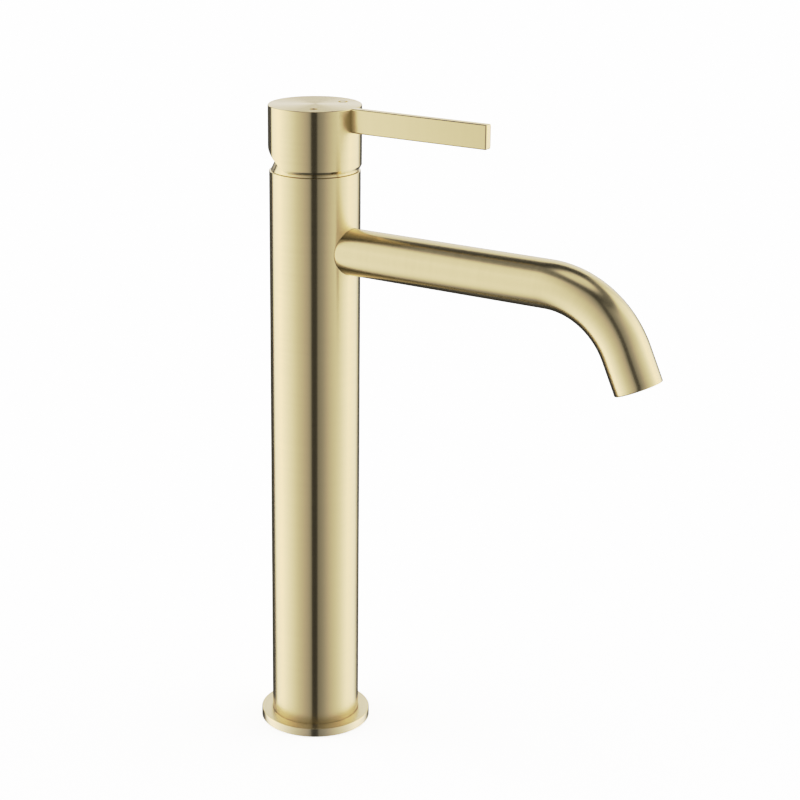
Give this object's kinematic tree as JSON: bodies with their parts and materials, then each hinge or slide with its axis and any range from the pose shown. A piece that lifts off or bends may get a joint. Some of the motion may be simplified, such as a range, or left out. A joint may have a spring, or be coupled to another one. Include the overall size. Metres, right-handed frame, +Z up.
{
  "type": "basin mixer faucet",
  "caption": "Tall single-lever basin mixer in brushed pale gold: a round column on a thin disc base, a fixed spout bent down at its end, and a cap with a slim bar lever.",
  "frame": {"origin": "centre of the column at the deck face", "axes": "+Z up the column, +X along the spout and the lever, +Y to the cold side"},
  "size_m": [0.2177, 0.0564, 0.326],
  "materials": {
    "brushed_brass": "pale gold, brushed round the axis, satin",
    "bare_brass": "turned, uncoated",
    "copper": "drawn copper tube",
    "rubber": "moulded",
    "stainless_steel": "satin",
    "chrome": "plated",
    "white_plastic": "moulded",
    "grey_plastic": "moulded",
    "ceramic": "ground and lapped alumina"
  },
  "bodies": {
    "column": {"column_tube": "brushed_brass", "base_flange": "brushed_brass", "base_gasket": "rubber", "base_plug": "bare_brass", "hot_tube": "copper", "cold_tube": "copper", "tube_o_rings": "rubber", "valve_body": "bare_brass", "spout_nipple": "bare_brass", "spout_o_ring": "rubber", "spout_tube": "brushed_brass", "aerator_housing": "chrome", "aerator_core": "white_plastic", "aerator_screen": "stainless_steel", "aerator_washer": "rubber", "cartridge_base": "white_plastic", "port_seals": "rubber", "disc_seals": "rubber", "cartridge_housing": "grey_plastic", "fixed_disc": "ceramic", "retaining_nut": "bare_brass", "trim_ring": "brushed_brass", "trim_o_ring": "rubber"},
    "mixer": {"cartridge_rotor": "white_plastic", "pivot_pin": "stainless_steel"},
    "lever": {"cartridge_stem": "bare_brass", "handle": "brushed_brass", "handle_screw": "stainless_steel", "handle_screw_plug": "brushed_brass"},
    "disc": {"moving_disc": "ceramic", "disc_carrier": "grey_plastic"}
  },
  "joints": [
    {"name": "mix_rotation", "type": "hinge", "parent": "column", "child": "mixer", "pos_m": [0, 0, 0.3], "axis": [0, 0, 1], "range_deg": [-50, 50]},
    {"name": "lever_lift", "type": "hinge", "parent": "mixer", "child": "lever", "pos_m": [0, 0, 0.3], "axis": [0, -1, 0], "range_deg": [0, 25]},
    {"name": "disc_slide", "type": "slide", "parent": "mixer", "child": "disc", "axis": [1, 0, 0], "range_m": [0, 0.00404]}
  ],
  "couplings": [
    {"joint": "disc_slide", "follows": "lever_lift", "m_per_rad": 0.0092014}
  ]
}
